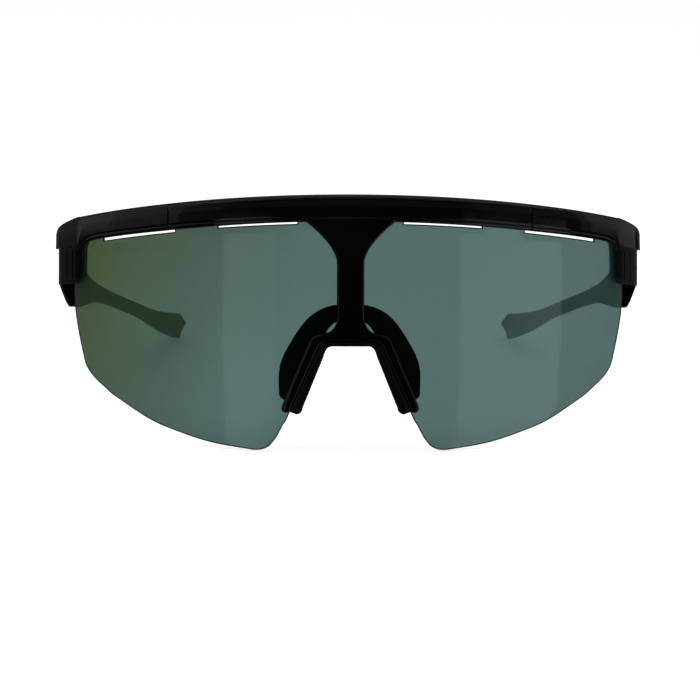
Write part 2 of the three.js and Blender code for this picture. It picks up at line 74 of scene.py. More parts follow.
FACE_R = 85.7
FACE_INSET = 1.7
LENS_T = 1.8
BROW_T = 5.7
CROWN_Z = 30
BARREL = 680
BROW_TOP = 36.1
BROW_BOTTOM = 29.75
COLUMN_HALF = 3.17
FLARE_HALF = 10.35
FLARE_BOTTOM = 19.8
SEAM_X = 42.9
TAB = 2.2
VENTS = ((12.4, 30.8, 0.35), (41.3, 59.0, 0.5))  # from, to, drop of the lens under it
LENS_BOTTOM = -23.45
LOBE_X = 22.6
CORNER_ANGLE = math.radians(50)
CORNER_R = 28
HINGE_PLANE = 47
LUG_INNER = 65
LUG_BOTTOM = 16.1
SPLICE_X = 38.9  # where the splice screws stand in the brow
SPLICE_Z = 32.8
SPLICE_ANGLE = math.asin(SPLICE_X / FACE_R)
SPLICE_HEAD_R = 1.1
SPLICE_HEAD_DEEP = 0.85  # depth of the hole for the screw's head


# ---- Outlines ----

def brow_top(x):
    return BROW_TOP - 0.00078 * x ** 2 - 1.6e-8 * x ** 4


def brow_bottom(x):
    return BROW_BOTTOM - 0.00085 * x ** 2


def bend(start, corner, end, count=10):
    """A quarter-like bend, as a quadratic curve."""
    points = []
    for i in range(count + 1):
        t = i / count
        a, b, c = (1 - t) ** 2, 2 * t * (1 - t), t * t
        points.append(tuple(a * s + b * k + c * e for s, k, e in zip(start, corner, end)))
    return points


def smooth(points, count):
    """A Catmull-Rom curve through points of any dimension."""
    last = len(points) - 1
    result = []
    for i in range(count + 1):
        at = i / count * last
        k = min(int(at), last - 1)
        t = at - k
        p0, p1 = points[max(k - 1, 0)], points[k]
        p2, p3 = points[k + 1], points[min(k + 2, last)]
        result.append(tuple(
            b + 0.5 * t * (c - a + t * (2 * a - 5 * b + 4 * c - d + t * (3 * (b - c) + d - a)))
            for a, b, c, d in zip(p0, p1, p2, p3)
        ))
    return result


def run(start, end, count, height):
    return [(start + (end - start) * i / count, height(start + (end - start) * i / count))
            for i in range(count + 1)]


def box(left, low, right, high):
    return [(left, low), (right, low), (right, high), (left, high)]


def both_halves(half):
    return half + [(-x, z) for x, z in reversed(half)]


def resampled(points, step):
    """The closed outline again, with points about step apart and its corners kept."""
    clean = [p for i, p in enumerate(points) if math.dist(p, points[i - 1]) > 1e-4]
    result = []
    for i, a in enumerate(clean):
        b = clean[(i + 1) % len(clean)]
        pieces = max(1, round(math.dist(a, b) / step))
        result += [tuple(u + (v - u) * k / pieces for u, v in zip(a, b)) for k in range(pieces)]
    return result


def area(points):
    return sum(a[0] * b[1] - b[0] * a[1] for a, b in zip(points, points[1:] + points[:1])) / 2


def inset_loop(points, distance):
    """The closed outline moved inwards by distance. It runs anticlockwise."""
    result = []
    count = len(points)
    for i, p in enumerate(points):
        before = Vector(p) - Vector(points[i - 1])
        after = Vector(points[(i + 1) % count]) - Vector(p)
        n1 = Vector((-before.y, before.x)).normalized()
        n2 = Vector((-after.y, after.x)).normalized()
        n = n1 + n2
        n = n / max(n.length_squared / 2, 0.35)
        result.append((p[0] + n.x * distance, p[1] + n.y * distance))
    return result


# ---- Surfaces that the outlines lie on ----

def barrel_radius(z):
    return FACE_R - FACE_INSET - (z - CROWN_Z) ** 2 / BARREL


def on_barrel(x, z, offset):
    """A point on the barrel of the lens; offset is outwards from the lens's front face."""
    radius = barrel_radius(z) + offset
    return Vector((x, FACE_R - math.sqrt(radius * radius - x * x), z))


CORNER_CENTRE = Vector((
    (FACE_R - CORNER_R) * math.sin(CORNER_ANGLE),
    FACE_R - (FACE_R - CORNER_R) * math.cos(CORNER_ANGLE),
))
CORNER_START = FACE_R * CORNER_ANGLE


def on_face(s, z, inset):
    """A point on the brow: s runs along its front face in plan, inset is inwards from it."""
    side = -1 if s < 0 else 1
    s = abs(s)
    if s < CORNER_START:
        angle = s / FACE_R
        radius = FACE_R - inset
        return Vector((side * radius * math.sin(angle), FACE_R - radius * math.cos(angle), z))
    angle = CORNER_ANGLE + (s - CORNER_START) / CORNER_R
    radius = CORNER_R - inset
    x = CORNER_CENTRE.x + radius * math.sin(angle)
    y = CORNER_CENTRE.y - radius * math.cos(angle)
    return Vector((side * x, y, z))


def angle_at(s):
    """Which way the brow faces at s: 0 at the centre, a right angle at the side."""
    s = abs(s)
    if s < CORNER_START:
        return s / FACE_R
    return CORNER_ANGLE + (s - CORNER_START) / CORNER_R


def ease(value, low, high):
    """0 below low, 1 above high and a soft step between."""
    t = min(1, max(0, (value - low) / (high - low)))
    return t * t * (3 - 2 * t)


def s_of_x(x):
    """Length along the front face at which the face stands at x."""
    if x < FACE_R * math.sin(CORNER_ANGLE):
        return FACE_R * math.asin(x / FACE_R)
    sine = min(1, (x - CORNER_CENTRE.x) / CORNER_R)
    return CORNER_START + CORNER_R * (math.asin(sine) - CORNER_ANGLE)


def s_of_y(y):
    """Length along the front face at which its side stands at depth y."""
    cosine = (CORNER_CENTRE.y - y) / CORNER_R
    return CORNER_START + CORNER_R * (math.acos(cosine) - CORNER_ANGLE)


# ---- Mesh building ----

def add_object(name, data):
    obj = bpy.data.objects.new(name, data)
    bpy.context.scene.collection.objects.link(obj)
    return obj


def new_object(name, verts, faces, body, material, sharp_angle=35):
    mesh = bpy.data.meshes.new(name)
    mesh.from_pydata([TO_ROW @ Vector(v) for v in verts], [], faces)
    mesh.validate()
    built = bmesh.new()
    built.from_mesh(mesh)
    bmesh.ops.remove_doubles(built, verts=built.verts, dist=1e-7)
    bmesh.ops.recalc_face_normals(built, faces=built.faces)
    built.to_mesh(mesh)
    built.free()
    obj = add_object(name, mesh)
    finish_shading(obj, sharp_angle)
    obj.data.materials.append(material)
    obj["ride_on"] = body
    return obj


def tool(name, data):
    """A solid that is only there to be cut out of a piece or joined to one."""
    return new_object(name, *data, "front", GLOSS)


def finish_shading(obj, sharp_angle=35):
    mesh = obj.data
    mesh.polygons.foreach_set("use_smooth", [True] * len(mesh.polygons))
    mesh.set_sharp_from_angle(angle=math.radians(sharp_angle))


def face_triangles(loop, grid):
    """Triangles that fill the loop, with inner points on a grid so that it can curve."""
    xs = [p[0] for p in loop]
    zs = [p[1] for p in loop]
    guard = inset_loop(loop, grid * 0.45)
    points = list(loop)
    for i in range(int(min(xs) / grid) - 1, int(max(xs) / grid) + 2):
        for j in range(int(min(zs) / grid) - 1, int(max(zs) / grid) + 2):
            shift = 0.5 * (j % 2)
            spot = ((i + shift) * grid, j * grid)
            if inside(spot, guard):
                points.append(spot)
    count = len(loop)
    edges = [(i, (i + 1) % count) for i in range(count)]
    out = geometry.delaunay_2d_cdt([Vector(p) for p in points], edges, [], 1, 1e-6)
    return [tuple(v) for v in out[0]], [tuple(f) for f in out[2]]


def inside(spot, loop):
    x, z = spot
    hit = False
    for a, b in zip(loop, loop[1:] + loop[:1]):
        if (a[1] > z) != (b[1] > z):
            if x < a[0] + (z - a[1]) * (b[0] - a[0]) / (b[1] - a[1]):
                hit = not hit
    return hit


def rounding(steps):
    """Pairs that run from (1, 0) to (0, 1) round a quarter circle, bulging towards (0, 0)."""
    turns = [math.pi / 2 * i / steps for i in range(steps + 1)]
    return [(1 - math.sin(a), 1 - math.cos(a)) for a in turns]


def circle(radius, place, count):
    """A ring of points round a centre: place(across, up) puts each where it belongs."""
    turns = [2 * math.pi * k / count for k in range(count)]
    return [place(radius * math.cos(a), radius * math.sin(a)) for a in turns]


def ring_quads(rings, count):
    """Quads between rings of count points that follow one another in a list of points."""
    faces = []
    for r in range(rings - 1):
        for i in range(count):
            j = (i + 1) % count
            faces.append((r * count + i, r * count + j, (r + 1) * count + j, (r + 1) * count + i))
    return faces


def plate(outline, surface, front, back, edge=0.35, step=0.8, grid=2.0, rounds=4):
    """A slab of the outline's shape on a curved surface, with rounded edges on both sides.

    surface(u, v, depth) places a point; front and back are the two depths.
    """
    loop = resampled(outline, step)
    if area(loop) < 0:
        loop.reverse()
    toward = 1 if back > front else -1
    rings = [(edge * sunk, front + toward * edge * risen) for sunk, risen in rounding(rounds)]
    rings += [(edge * risen, back - toward * edge * sunk) for sunk, risen in rounding(rounds)]
    verts = []
    for inset, depth in rings:
        verts += [surface(u, v, depth) for u, v in inset_loop(loop, inset)]
    faces = ring_quads(len(rings), len(loop))
    for depth, flip in ((front, True), (back, False)):
        points, triangles = face_triangles(inset_loop(loop, edge), grid)
        base = len(verts)
        verts += [surface(u, v, depth) for u, v in points]
        for tri in triangles:
            corners = [base + k for k in tri]
            faces.append(tuple(reversed(corners)) if flip else tuple(corners))
    return verts, faces


def loft(sections):
    """Quads between closed sections that all have the same number of points, with end caps."""
    verts = [p for section in sections for p in section]
    count = len(sections[0])
    faces = ring_quads(len(sections), count)
    faces.append(tuple(range(count)))
    faces.append(tuple(reversed(range(len(verts) - count, len(verts)))))
    return verts, faces


def boolean(obj, tools, operation="DIFFERENCE"):
    """Applies a boolean with each tool and removes the tools."""
    for other in tools:
        modifier = obj.modifiers.new("cut", "BOOLEAN")
        modifier.operation = operation
        modifier.solver = "EXACT"
        modifier.object = other
    bpy.context.view_layer.update()
    evaluated = obj.evaluated_get(bpy.context.evaluated_depsgraph_get())
    mesh = bpy.data.meshes.new_from_object(evaluated)
    obj.modifiers.clear()
    obj.data = mesh
    for other in tools:
        bpy.data.objects.remove(other)
    finish_shading(obj)
    return obj


# ---- Materials ----

class Nodes:
    """A node tree, and short ways to add and link nodes."""

    def __init__(self, tree, output):
        self.tree = tree
        self.tree.nodes.clear()
        self.output = self.add(output)

    def add(self, kind, **settings):
        node = self.tree.nodes.new(kind)
        for key, value in settings.items():
            setattr(node, key, value)
        return node

    def link(self, source, target):
        self.tree.links.new(source, target)

    def feed(self, socket, value):
        """Sets the socket to a number, or links it to a node's output."""
        if isinstance(value, (int, float)):
            socket.default_value = value
        else:
            self.link(value, socket)

    def maths(self, operation, *values):
        node = self.add("ShaderNodeMath", operation=operation)
        for socket, value in zip(node.inputs, values):
            self.feed(socket, value)
        return node.outputs["Value"]

    def span(self, source, low, high, to_low=0.0, to_high=1.0, step="LINEAR"):
        node = self.add("ShaderNodeMapRange", interpolation_type=step)
        for key, number in (("From Min", low), ("From Max", high),
                            ("To Min", to_low), ("To Max", to_high)):
            node.inputs[key].default_value = number
        self.link(source, node.inputs["Value"])
        return node.outputs["Result"]

    def mix(self, share, first, second):
        node = self.add("ShaderNodeMixShader")
        self.feed(node.inputs["Fac"], share)
        self.link(first, node.inputs[1])
        self.link(second, node.inputs[2])
        return node.outputs["Shader"]

    def light_path(self, ray):
        return self.add("ShaderNodeLightPath").outputs[ray]


class Shader(Nodes):
    """A material of its own, with the nodes that its surface is made from."""

    def __init__(self, name):
        self.material = bpy.data.materials.new(name)
        self.material.use_nodes = True
        super().__init__(self.material.node_tree, "ShaderNodeOutputMaterial")

    def place(self):
        return self.add("ShaderNodeTexCoord").outputs["Object"]

    def noise(self, scale, detail, roughness=0.5):
        node = self.add("ShaderNodeTexNoise")
        node.inputs["Scale"].default_value = scale
        node.inputs["Detail"].default_value = detail
        node.inputs["Roughness"].default_value = roughness
        self.link(self.place(), node.inputs["Vector"])
        return node.outputs["Fac"]

    def ramp(self, source, stops):
        node = self.add("ShaderNodeValToRGB")
        ramp = node.color_ramp
        while len(ramp.elements) < len(stops):
            ramp.elements.new(0.5)
        for element, (at, colour) in zip(ramp.elements, stops):
            element.position = at
            element.color = (*colour, 1)
        self.link(source, node.inputs["Fac"])
        return node.outputs["Color"]

    def bump(self, height, strength, distance):
        node = self.add("ShaderNodeBump")
        node.inputs["Strength"].default_value = strength
        node.inputs["Distance"].default_value = distance
        self.link(height, node.inputs["Height"])
        return node.outputs["Normal"]

    def rim(self, head_on, edge_on):
        """A share that rises from head_on to edge_on, the same from both sides of a face."""
        node = self.add("ShaderNodeLayerWeight")
        node.inputs["Blend"].default_value = 0.5
        return self.span(self.maths("POWER", node.outputs["Facing"], 4.0), 0, 1, head_on, edge_on)

    def principled(self, **values):
        node = self.add("ShaderNodeBsdfPrincipled")
        for key, value in values.items():
            node.inputs[key.replace("_", " ")].default_value = value
        return node

    def shiny(self):
        """The polished coat of the lens."""
        node = self.add("ShaderNodeBsdfGlossy")
        node.inputs["Roughness"].default_value = COAT_ROUGHNESS
        return node

    def finish(self, shader_socket):
        self.link(shader_socket, self.output.inputs["Surface"])
        return self.material


def moulded(name, dark, light, gloss, grain, grain_depth, specular=0.5, coat=0.0):
    """Moulded plastic or rubber: cloudy colour, uneven gloss and a fine surface grain."""
    m = Shader(name)
    body = m.principled(Specular_IOR_Level=specular, Coat_Weight=coat, Coat_Roughness=0.04)
    clouds = m.noise(90, 4.0)
    m.link(m.ramp(clouds, [(0.35, dark), (0.65, light)]), body.inputs["Base Color"])
    m.link(m.span(m.noise(260, 2.0), 0.3, 0.7, *gloss), body.inputs["Roughness"])
    m.link(m.bump(m.noise(grain, 2.0), 0.35, grain_depth), body.inputs["Normal"])
    return m.finish(body.outputs["BSDF"])


def steel(name):
    m = Shader(name)
    body = m.principled(Metallic=1.0)
    turned = m.noise(2200, 2.0, 0.7)
    colour = m.ramp(turned, [(0.3, (0.36, 0.37, 0.39)), (0.7, (0.58, 0.59, 0.61))])
    m.link(colour, body.inputs["Base Color"])
    m.link(m.span(turned, 0.2, 0.8, 0.18, 0.34), body.inputs["Roughness"])
    return m.finish(body.outputs["BSDF"])


# Across the lens the tint turns from olive on the wearer's right to sea green on the left, and the
# haze is faint in the middle and stronger towards the sides. Beyond the lens's own green tint,
# this sweep is painted reflection, standing in for the reflected room as it changes across the
# lens.
LENS_WIDTH = 0.134
TINT_WITH_PAINTED_REFLECTION_STOPS = (
    (0.00, (0.060, 0.080, 0.042)),
    (0.10, (0.068, 0.100, 0.068)),
    (0.20, (0.069, 0.106, 0.093)),
    (0.30, (0.092, 0.152, 0.142)),
    (0.38, (0.117, 0.199, 0.188)),
    (0.68, (0.117, 0.199, 0.188)),
    (0.80, (0.094, 0.148, 0.141)),
    (1.00, (0.089, 0.135, 0.132)),
)
HAZE_WITH_PAINTED_REFLECTION_STOPS = (
    (0.00, (0.071, 0.135, 0.060)),
    (0.20, (0.078, 0.149, 0.092)),
    (0.30, (0.053, 0.100, 0.078)),
    (0.38, (0.003, 0.004, 0.004)),
    (0.68, (0.003, 0.004, 0.004)),
    (0.80, (0.095, 0.184, 0.172)),
    (1.00, (0.095, 0.184, 0.172)),
)
MIRROR_WITH_PAINTED_REFLECTION_STOPS = (
    (0.00, (0.50, 0.62, 0.42)),
    (0.24, (0.60, 0.78, 0.68)),
    (0.50, (0.70, 0.90, 0.85)),
    (1.00, (0.72, 0.92, 0.88)),
)
HAZE_SHARE = 0.3
COAT_ROUGHNESS = 0.04


def painted_reflection_sweep(m):
    """0 to 1 over the lens's width, drifting towards the sea green lower down: the sweep of the
    painted reflection.
    """
    parts = m.add("ShaderNodeSeparateXYZ")
    m.link(m.place(), parts.inputs["Vector"])
    drift = m.maths("MULTIPLY", parts.outputs["Z"], -0.42)
    slanted = m.maths("ADD", parts.outputs["X"], drift)
    wavy = m.maths("ADD", slanted, m.span(m.noise(16, 1.0), 0.0, 1.0, -0.003, 0.003))
    return m.span(wavy, -LENS_WIDTH / 2 - 0.012, LENS_WIDTH / 2 - 0.012)


def lens_front():
    """Tinted and see-through, under a mirror coat that is part haze and part clear shine."""
    m = Shader("lens_mirror_coat")
    # Tint, haze and mirror colour all follow this sweep, which paints reflected light into the
    # lens's colour.
    along = painted_reflection_sweep(m)
    clear = m.add("ShaderNodeBsdfTransparent")
    m.link(m.ramp(along, TINT_WITH_PAINTED_REFLECTION_STOPS), clear.inputs["Color"])
    haze = m.add("ShaderNodeBsdfDiffuse")
    m.link(m.ramp(along, HAZE_WITH_PAINTED_REFLECTION_STOPS), haze.inputs["Color"])
    tinted = m.mix(HAZE_SHARE, clear.outputs["BSDF"], haze.outputs["BSDF"])
    mirror = m.shiny()
    m.link(m.ramp(along, MIRROR_WITH_PAINTED_REFLECTION_STOPS), mirror.inputs["Color"])
    return m.finish(m.mix(m.rim(0.06, 0.8), tinted, mirror.outputs["BSDF"]))


def lens_back():
    m = Shader("lens_inner_face")
    clear = m.add("ShaderNodeBsdfTransparent")
    clear.inputs["Color"].default_value = (0.96, 0.98, 0.97, 1)
    mirror = m.shiny()
    mirror.inputs["Color"].default_value = (0.75, 0.85, 0.82, 1)
    streaks = m.span(m.noise(40, 2.0), 0.3, 0.7, 0.8, 1.0)
    share = m.maths("MULTIPLY", m.rim(0.04, 0.9), streaks)
    return m.finish(m.mix(share, clear.outputs["BSDF"], mirror.outputs["BSDF"]))


GLOSS = moulded("gloss_black_nylon", (0.0005, 0.0005, 0.0006), (0.0012, 0.0012, 0.0013),
                (0.035, 0.06), 1400, 0.000004, coat=0.2)
SATIN = moulded("satin_black_nylon", (0.0006, 0.0006, 0.0007), (0.0012, 0.0012, 0.0013),
                (0.28, 0.38), 5200, 0.000004, specular=0.35)
RUBBER = moulded("soft_black_rubber", (0.0016, 0.0016, 0.0017), (0.003, 0.003, 0.0032),
                 (0.6, 0.72), 6000, 0.000003, specular=0.22)
NYLON = moulded("washer_nylon", (0.03, 0.03, 0.031), (0.05, 0.05, 0.052),
                (0.4, 0.5), 6000, 0.00001)
STEEL = steel("turned_steel")
LENS_EDGE = moulded("lens_cut_edge", (0.006, 0.010, 0.009), (0.010, 0.016, 0.014),
                    (0.10, 0.18), 4000, 0.000005)
LENS_FRONT = lens_front()
LENS_BACK = lens_back()


# ---- Brow bar ----

# Section of the brow, walked round once: a share of the height from the lower edge, millimetres
# beyond that, and the depth behind the front face. The lip line is the shallow step near the
# foot, and the underside rises towards the back.
BROW_SECTION = (
    (0, 0.00, 1.6), (0, 0.00, 1.0), (0, 0.03, 0.62), (0, 0.14, 0.28), (0, 0.32, 0.08),
    (0, 0.52, 0.02), (0, 0.78, 0.02), (0, 0.86, 0.06), (0, 0.92, 0.14), (0, 1.04, 0.16),
    (0, 1.12, 0.10), (0, 1.22, 0.03), (0, 1.32, 0.0), (0, 1.5, 0.0), (0.4, 0.4, 0.0),
    (0.55, 0.0, 0.0), (0.58, 0.0, 0.0), (1, -1.5, 0.07), (1, -1.32, 0.09), (1, -1.1, 0.15),
    (1, -0.85, 0.27), (1, -0.6, 0.46), (1, -0.38, 0.71), (1, -0.2, 1.02), (1, -0.07, 1.43),
    (1, 0.0, 2.0), (1, 0.0, 3.1), (1, 0.0, 4.2), (1, -0.06, 4.7), (1, -0.25, 5.2),
    (1, -0.55, 5.5), (1, -0.95, 5.65), (1, -1.4, 5.7), (0.66, 0, 5.7), (0.38, 0, 5.7),
    (0, 1.35, 5.7), (0, 0.85, 5.62), (0, 0.5, 5.35), (0, 0.34, 4.95), (0, 0.28, 4.5),
    (0, 0.2, 3.5), (0, 0.1, 2.5),
)
SEAM_CHAMFER = 0.16
SLIM_SPAN = (40, 62)  # over this stretch of s the top edge's rounding halves
SWELL_DEPTH = 3  # a swell of the front fades out at this depth
STRAIGHT_FROM = (46, 58)  # s over which the foot of the brow turns straight back
STRAIGHT_UNTIL = (math.radians(50), math.radians(64))  # angles over which it lets go again
SIGHT_SLOPE = 0.1  # the inner wall of the lug opens outwards this much


def brow_station(low, high, swell=None, pull=0.0):
    """One section of the brow between two points (s, z) of its lower and upper edges.

    swell(s) pushes the front outwards, and pull shrinks the section all round for a chamfer.
    """
    length = math.dist(low, high)
    slim = 1 - 0.5 * ease(abs(low[0]), *SLIM_SPAN)
    ring = []
    for share, extra, depth in BROW_SECTION:
        if share == 1:
            extra *= slim
        t = share + extra / length
        t = min(1 - pull / length, max(pull / length, t))
        s = low[0] + (high[0] - low[0]) * t
        z = low[1] + (high[1] - low[1]) * t
        if swell is not None and depth < SWELL_DEPTH:
            depth -= swell(s) * (1 - depth / SWELL_DEPTH)
        depth = min(BROW_T - pull, max(pull, depth)) if pull else depth
        ring.append(straightened(s, z, depth, 1 - t))
    return ring


def straightened(s, z, depth, lowness):
    """A point of the brow whose depth turns to run straight back near the lens's outer edge."""
    point = on_face(s, z, depth)
    bend_back = lowness * ease(abs(s), *STRAIGHT_FROM) * (1 - ease(angle_at(s), *STRAIGHT_UNTIL))
    if bend_back <= 0:
        return point
    back = depth / math.cos(angle_at(s))
    behind = on_face(s, z, 0) + Vector((math.copysign(back * SIGHT_SLOPE, s), back, 0))
    return point.lerp(behind, bend_back)


def x_of_s(s):
    return on_face(s, 0, 0).x


SEAM_S = s_of_x(SEAM_X)
SEAM_HALF_GAP = 0.05


def brow_band():
    reach = SEAM_S - SEAM_HALF_GAP
    inner = reach - SEAM_CHAMFER
    stops = [-reach] + spaced(-inner, inner, 0.8) + [reach]
    rings = []
    for s in stops:
        x = x_of_s(s)
        pull = SEAM_CHAMFER if abs(s) > inner + 0.01 else 0.0
        rings.append(brow_station((s, brow_bottom(x)), (s, brow_top(x)), pull=pull))
    return loft(rings)


def wishbone_outer():
    return (
        bend((COLUMN_HALF, 7.6), (3.3, 3.8), (7.4, 3.45))
        + bend((7.6, 3.4), (9.2, 3.0), (9.9, 0.9))
        + [(15.9, -12.9)]
        + bend((15.95, -13.1), (16.2, -14.6), (14.9, -14.65), 6)
    )


def wishbone_inner(gap):
    return (
        bend((14.6, -14.6), (14.1, -14.5), (13.75 - gap, -13.2), 5)
        + [(7.7 - gap, 0.2)]
        + bend((7.6 - gap, 0.4), (6.9 - gap, 1.9 - gap), (5.2, 1.9 - gap), 6)
        + [(0, 1.9 - gap)]
    )


def column_outline():
    start = (FLARE_HALF, brow_bottom(FLARE_HALF))
    flare = bend(start, (COLUMN_HALF, 23.9), (COLUMN_HALF, FLARE_BOTTOM), 20)
    top = [(0, BROW_BOTTOM + 1.1), (FLARE_HALF + 0.2, BROW_BOTTOM + 1.1)]
    return both_halves(top + flare + wishbone_outer() + wishbone_inner(0))


def lens_slot(name, outline, gap):
    """Room for the lens and a gap on either side of it, within the outline."""
    data = plate(outline, on_barrel, gap, -LENS_T - gap, edge=0.05, grid=3.0, rounds=1)
    return tool(name, data)


def tab_cutter(start, end, name):
    """A slab a little larger than one tab of the lens."""
    gap = 0.12
    outline = (
        run(start - gap, end + gap, 8, lambda x: brow_bottom(x) - 2)
        + run(end + gap, start - gap, 8, lambda x: brow_bottom(x) + TAB + gap)
    )
    return lens_slot(name, outline, gap)


def splice_point(side, across, up, depth):
    """A point near a splice screw: across and up from its axis, depth behind the front face."""
    swing = Matrix.Rotation(side * SPLICE_ANGLE, 3, "Z")
    point = swing @ Vector((across, depth - FACE_R, up))
    return point + Vector((0, FACE_R, SPLICE_Z))


def splice_cutter(side):
    """The hole for a splice screw's head in the rear face of the brow."""
    rings = []
    for depth in (BROW_T - SPLICE_HEAD_DEEP, BROW_T + 1):
        rings.append(circle(SPLICE_HEAD_R + 0.1, lambda a, b: splice_point(side, a, b, depth), 32))
    return tool(f"splice_cut_{side}", loft(rings))


TONGUE_CORNER = 0.9
TONGUE = (1.25, 0.5)  # reach past the seam, and inset
SOCKET = (1.35, 0.42)  # the hole for it, a little larger


def splice_tongue(name, side, reach, inset):
    """The end piece's tongue inside the brow bar, which also closes the view through the seam.

    It lies inset from the surface of the brow all round, with its long edges cut off.
    """
    near, far = inset, BROW_T - inset
    rings = []
    for s in spaced(SEAM_S - reach, SEAM_S + 1, 0.4):
        low, high = brow_bottom(x_of_s(s)) + inset, brow_top(x_of_s(s)) - inset
        section = (
            (low, near), (low, far - TONGUE_CORNER), (low + TONGUE_CORNER, far),
            (high - TONGUE_CORNER, far), (high, far - TONGUE_CORNER), (high, near + TONGUE_CORNER),
            (high - TONGUE_CORNER, near),
        )
        rings.append([on_face(side * s, z, depth) for z, depth in section])
    return tool(name, loft(rings))


def brow_bar():
    bar = new_object("brow_bar_shell", *brow_band(), "front", GLOSS)
    column_data = plate(
        column_outline(), on_barrel, FACE_INSET - 0.02, 0.2, edge=0.45, step=0.5, grid=0.8,
    )
    boolean(bar, [tool("column", column_data)], "UNION")
    cutters = [
        tab_cutter(-VENTS[0][0], VENTS[0][0], "tab_mid"),
        tab_cutter(VENTS[0][1], VENTS[1][0], "tab_left"),
        tab_cutter(-VENTS[1][0], -VENTS[0][1], "tab_right"),
        splice_cutter(1),
        splice_cutter(-1),
        splice_tongue("socket_left", 1, *SOCKET),
        splice_tongue("socket_right", -1, *SOCKET),
    ]
    boolean(bar, cutters)
    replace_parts(bar, "brow_bar")


# ---- Lens ----

def lens_notch():
    return (
        bend((0, 2.9), (7, 3.2), (8, 0.9))
        + smooth([(8.6, -0.6), (14.1, -14.6), (15.7, -17.6), (17.2, -20.4), (18.6, -22.2)], 24)
        + bend((18.9, -22.5), (20.0, -23.3), (21.4, -23.42), 6)
    )


def lens_outline():
    top = []
    at = 0
    for start, end, drop in VENTS:
        top += run(at, start, 6, lambda x: brow_bottom(x) + TAB)
        top += run(start, end, 14, lambda x: brow_bottom(x) - drop)
        at = end
    top.append((at, brow_bottom(at) + TAB))
    outer = (
        bend((64, 28.2), (66.4, 28), (66.8, 25))
        + smooth([(66.9, 20), (67.1, 13.5), (66.7, 8.2), (65.6, 2.3), (64.7, -1.6)], 16)
        + bend((64.4, -2.8), (63.7, -5.3), (60.6, -7.9))
    )
    bottom = smooth(
        [(57.1, -10.8), (48, -16.4), (41.5, -19.1), (32.7, -21.8), (LOBE_X, LENS_BOTTOM)], 30,
    )
    return both_halves(top + outer + bottom + lens_notch()[::-1])


LENS_RIM = 0.28  # the ground edge turns this far onto the front face


def shield_lens():
    data = plate(lens_outline(), on_barrel, 0, -LENS_T, edge=0.3, step=0.7, grid=1.5)
    lens = new_object("shield_lens_shell", *data, "front", LENS_FRONT)
    lens.data.materials.append(LENS_BACK)
    lens.data.materials.append(LENS_EDGE)
    edge_points = resampled(lens_outline(), 0.2)
    tree = kdtree.KDTree(len(edge_points))
    for i, (x, z) in enumerate(edge_points):
        tree.insert((x, z, 0), i)
    tree.balance()
    to_wearing = TO_ROW.inverted()
    for polygon in lens.data.polygons:
        centre = to_wearing @ polygon.center
        offset = math.hypot(centre.x, FACE_R - centre.y) - barrel_radius(centre.z)
        near_edge = tree.find((centre.x, centre.z, 0))[2] < LENS_RIM
        if offset < -LENS_T + 0.1:
            polygon.material_index = 1
        elif offset < -0.1 or near_edge:
            polygon.material_index = 2
    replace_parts(lens, "shield_lens")


# ---- End pieces ----

LUG_FLUTES = (66.3, 67.4, 69.1)  # x of the three upright flutes
FLUTE_HALF = 0.2
FLUTE_DEPTH = 0.5
CAP_LINE_Z = 24.95
CAP_SWELL = 0.6
CAP_SWELL_X = (68, 71.3)  # the swell comes in between these
LUG_STEP = 0.14  # the lug lies this far behind its cap at the front
EAR_LOW = 2.25
EAR_HIGH = 4.15
KNUCKLE_R = 1.95
BORE_R = 0.85
SEAT_R = 1.55  # the hole for the hinge screw's head
SEAT_DEEP = 0.9


def cap_swell(s):
    """How far the side of the cap stands out beyond the curve of the brow."""
    return CAP_SWELL * ease(x_of_s(s), *CAP_SWELL_X)


def lug_cutters():
    """The step under the cap, and the upright flutes of the lug."""
    start, end = s_of_x(61.5), s_of_y(HINGE_PLANE + 2)
    step = box(start, LUG_BOTTOM - 1, end, CAP_LINE_Z)
    data = plate(step, on_face, LUG_STEP, -1.5, edge=0.05, step=0.5, grid=1.0, rounds=1)
    cutters = [tool("cap_step", data)]
    for i, x in enumerate(LUG_FLUTES):
        s = s_of_x(x)
        flute = box(s - FLUTE_HALF, LUG_BOTTOM + 1.1, s + FLUTE_HALF, CAP_LINE_Z - 0.8)
        data = plate(flute, on_face, FLUTE_DEPTH, -0.5, edge=0.1, step=0.4, grid=1.0, rounds=2)
        cutters.append(tool(f"flute_{i}", data))
    return cutters


def end_band():
    """The end piece from the seam round to the hinge plane, lug included.

    Its lower edge runs along the brow, down the lug's inner side and back along its foot.
    """
    rear = s_of_y(HINGE_PLANE)
    start = SEAM_S + SEAM_HALF_GAP
    low = [(s_of_x(x), z) for x, z in run(SEAM_X, 60.6, 40, brow_bottom)]
    low[0] = (start + SEAM_CHAMFER, low[0][1])
    low += [(s_of_x(x), z) for x, z in bend((61, 26.55), (64.9, 26), (LUG_INNER, 23.8), 16)]
    turn = len(low) - 1
    inner = s_of_x(LUG_INNER)
    low += [(inner, z) for z in (23.0, 22.0, 21.0, 20.0, 19.0, 18.0, 17.4)]
    low += bend((inner, 16.9), (inner, LUG_BOTTOM), (inner + 0.8, LUG_BOTTOM), 8)
    count = 44
    low += [(inner + 0.8 + (rear - inner - 0.8) * i / count, LUG_BOTTOM)
            for i in range(1, count + 1)]
    along = [s for s, z in low[:turn + 1]]
    spread = len(low) - len(along)
    along += [low[turn][0] + (rear - low[turn][0]) * i / spread for i in range(1, spread + 1)]
    high = [(s, corner_top(x_of_s(s), on_face(s, 0, 0).y)) for s in along]
    rings = [brow_station((start, low[0][1]), (start, high[0][1]), pull=SEAM_CHAMFER)]
    rings += [brow_station(a, b, cap_swell) for a, b in zip(low, high)]
    return loft(rings)


TOP_FALL = bend((27, 33.2), (40, 31.2), (45, 29.2)) + [(HINGE_PLANE, 28.7)]


